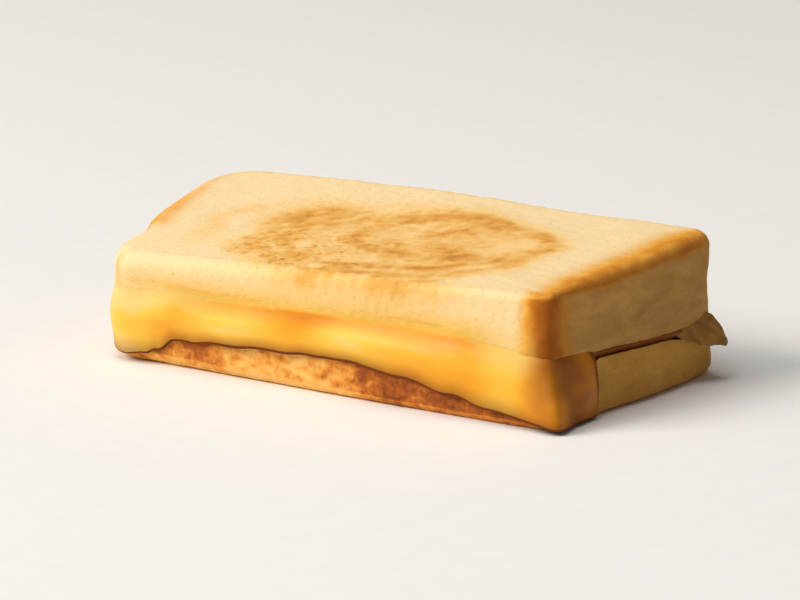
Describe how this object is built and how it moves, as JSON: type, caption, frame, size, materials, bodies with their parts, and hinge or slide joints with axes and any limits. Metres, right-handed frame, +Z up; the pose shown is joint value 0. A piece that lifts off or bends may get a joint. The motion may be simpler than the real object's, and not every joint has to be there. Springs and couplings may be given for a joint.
{
  "type": "grilled cheese sandwich",
  "caption": "Half of a grilled cheese sandwich: two toasted half slices of sandwich loaf with melted cheese between them, which hangs over the cut side and turns one corner.",
  "frame": {"origin": "middle of the base of the bounding box, where the lower slice rests", "axes": "+X along the cut side towards the corner that the cheese covers, +Y from the cut side to the back crust, +Z up through the two slices"},
  "size_m": [0.1318, 0.067, 0.0303],
  "materials": {
    "bread_top": "toasted white bread: dry cream crumb, golden brown toasted face and crust",
    "cheese": "soft melted cheese, glossy, yellow to amber",
    "bread_bottom": "toasted white bread, browned crumb and crust"
  },
  "bodies": {
    "root": {"bread_top": "bread_top", "cheese": "cheese", "bread_bottom": "bread_bottom"}
  },
  "joints": []
}
